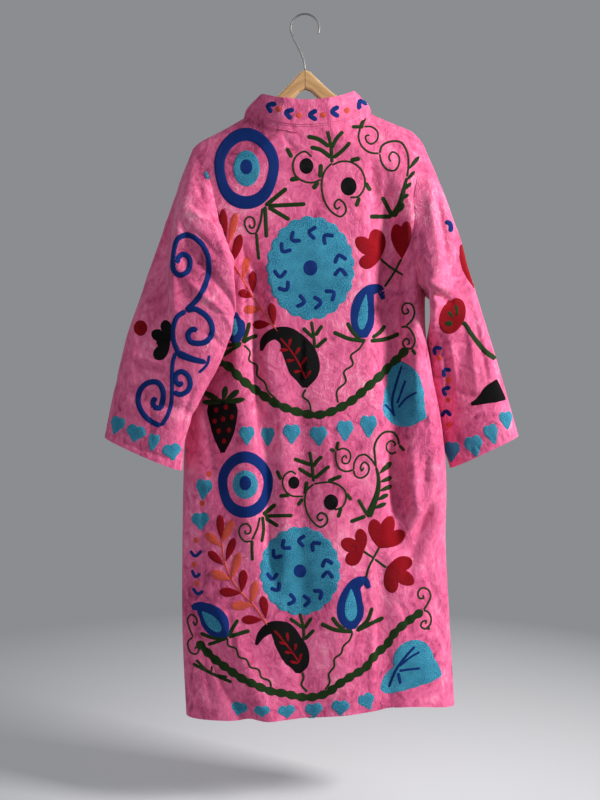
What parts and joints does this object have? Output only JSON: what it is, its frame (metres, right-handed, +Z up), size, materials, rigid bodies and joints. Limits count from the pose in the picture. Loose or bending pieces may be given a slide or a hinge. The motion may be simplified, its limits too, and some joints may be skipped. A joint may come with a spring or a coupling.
{
  "type": "embroidered jacket on hanger",
  "caption": "Long velvet jacket with wide sleeves, a stand collar and chain-stitch flowers, hung on a wooden hanger with a wire hook.",
  "frame": {"origin": "the inside top of the hanger's hook, where a nail or rail holds it", "axes": "+Z up; +X to the wearer's right, which is the right of the picture; the back of the jacket faces -Y and its front faces +Y, towards the wall"},
  "size_m": [0.7343, 0.1743, 1.2575],
  "materials": {
    "velvet": "crushed pink velvet, lined",
    "bamboo": "satin bamboo laminate",
    "steel_wire": "plain bent wire"
  },
  "bodies": {
    "root": {"back_panel": "velvet", "front_panel_left": "velvet", "front_panel_right": "velvet", "sleeve_left": "velvet", "sleeve_right": "velvet", "collar": "velvet", "hanger": "bamboo", "hook": "steel_wire"}
  },
  "joints": []
}
